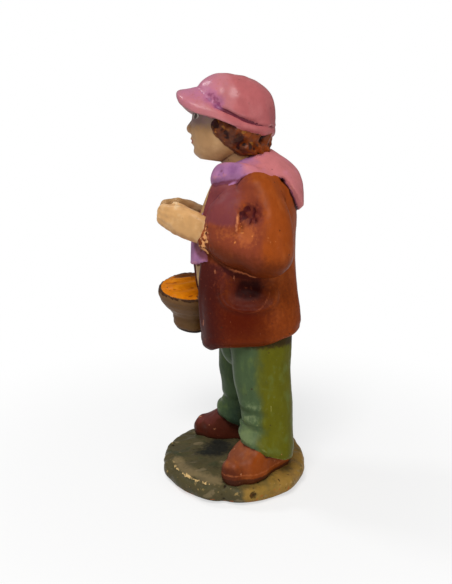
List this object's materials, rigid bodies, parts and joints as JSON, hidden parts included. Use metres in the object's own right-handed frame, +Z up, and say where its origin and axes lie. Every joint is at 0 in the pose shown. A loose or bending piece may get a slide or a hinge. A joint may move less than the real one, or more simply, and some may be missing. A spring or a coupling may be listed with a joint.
{
  "type": "standing vendor figurine",
  "caption": "Small painted clay figurine of a standing vendor in cap, scarf and jacket, with a filled basket, on an oval ground; stands on its flat underside.",
  "frame": {"origin": "middle of the outline seen from above, on the surface it stands on", "axes": "+Z up, -Y the way the figure faces, +X its left side"},
  "size_m": [0.0372, 0.0348, 0.0899],
  "materials": {
    "figurine": null
  },
  "bodies": {
    "root": {"figurine": "figurine"}
  },
  "joints": []
}
